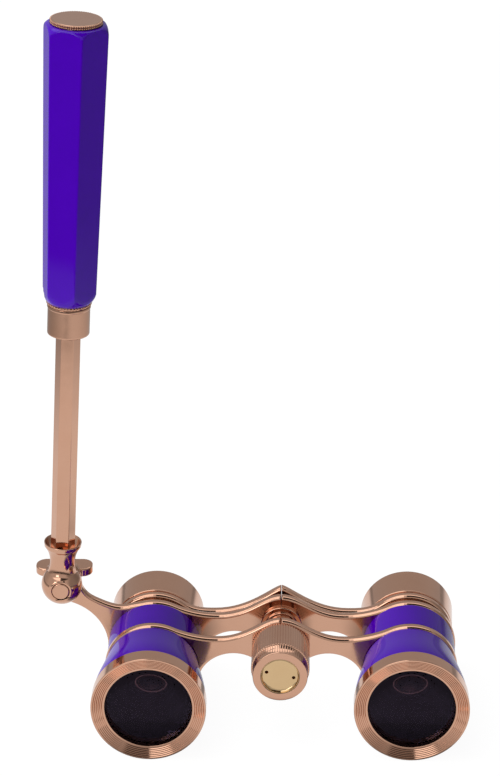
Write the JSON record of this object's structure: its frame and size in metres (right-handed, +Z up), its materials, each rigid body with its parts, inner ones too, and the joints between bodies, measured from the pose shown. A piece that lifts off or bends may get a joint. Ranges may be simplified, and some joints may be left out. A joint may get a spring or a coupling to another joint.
{
  "type": "lorgnette",
  "caption": "Compact opera glass with enamelled barrels, a centre focus wheel and a telescopic hexagonal handle that folds at one side.",
  "frame": {"origin": "centre of the bounding box at the lowest point, on the surface that the objective rims stand on", "axes": "+X to the right as seen from in front of the objectives, +Y from the objectives back to the eyecups, along the optical axes, +Z up along the raised handle"},
  "size_m": [0.1226, 0.0566, 0.2043],
  "materials": {
    "rose_gold": "polished rose gold plating",
    "pale_gold": "polished pale gold plating",
    "barrel_enamel": "glossy purple enamel",
    "grip_lacquer": "glossy purple lacquer",
    "lens_glass": "coated",
    "black_anodised": "matt black anodised",
    "bright_steel": "turned",
    "liner_aluminium": "drawn"
  },
  "bodies": {
    "glasses": {"front_bridge": "rose_gold", "rear_bridge": "rose_gold", "left_inner_tube": "black_anodised", "right_inner_tube": "black_anodised", "left_front_sleeve": "barrel_enamel", "right_front_sleeve": "barrel_enamel", "left_rear_sleeve": "barrel_enamel", "right_rear_sleeve": "barrel_enamel", "left_objective_cell": "rose_gold", "right_objective_cell": "rose_gold", "left_objective_lens": "lens_glass", "right_objective_lens": "lens_glass", "left_lens_ring": "black_anodised", "right_lens_ring": "black_anodised", "spindle_bushing": "rose_gold", "friction_washer": "bright_steel"},
    "eyepieces": {"eyepiece_bridge": "rose_gold", "left_draw_tube": "rose_gold", "right_draw_tube": "rose_gold", "left_eyecup": "rose_gold", "right_eyecup": "rose_gold", "left_eye_lens_cell": "black_anodised", "right_eye_lens_cell": "black_anodised", "left_eye_lens": "lens_glass", "right_eye_lens": "lens_glass", "left_eye_lens_ring": "black_anodised", "right_eye_lens_ring": "black_anodised", "focus_screw": "bright_steel", "stop_screw": "bright_steel"},
    "focus_wheel": {"focus_wheel": "rose_gold", "wheel_cap": "pale_gold", "wheel_clip": "bright_steel"},
    "handle_rod": {"handle_socket": "rose_gold", "pivot_stud": "rose_gold", "handle_rod": "rose_gold", "rod_stop": "bright_steel"},
    "wing_nut": {"wing_nut": "rose_gold"},
    "handle_grip": {"ferrule": "rose_gold", "beaded_ring": "rose_gold", "handle_grip": "grip_lacquer", "handle_liner": "liner_aluminium", "end_cap": "rose_gold"}
  },
  "joints": [
    {"name": "eyepiece_slide", "type": "slide", "parent": "glasses", "child": "eyepieces", "axis": [0, 1, 0], "range_m": [-0.0022, 0.0045]},
    {"name": "wheel_turn", "type": "hinge", "parent": "glasses", "child": "focus_wheel", "pos_m": [0.00895, -0.0135, 0.0227], "axis": [0, 1, 0], "range_deg": [-133, 271]},
    {"name": "handle_fold", "type": "hinge", "parent": "glasses", "child": "handle_rod", "pos_m": [-0.05325, 0.0052, 0.03733], "axis": [0, 1, 0], "range_deg": [-180, 83]},
    {"name": "grip_slide", "type": "slide", "parent": "handle_rod", "child": "handle_grip", "axis": [0.0576, 0, 0.9983], "range_m": [-0.0625, 0]},
    {"name": "wing_nut_turn", "type": "hinge", "parent": "handle_rod", "child": "wing_nut", "pos_m": [-0.05325, 0.0132, 0.03733], "axis": [0, 1, 0], "range_deg": [0, 180]}
  ],
  "couplings": [
    {"joint": "wheel_turn", "follows": "eyepiece_slide", "rad_per_m": 1047.2}
  ]
}
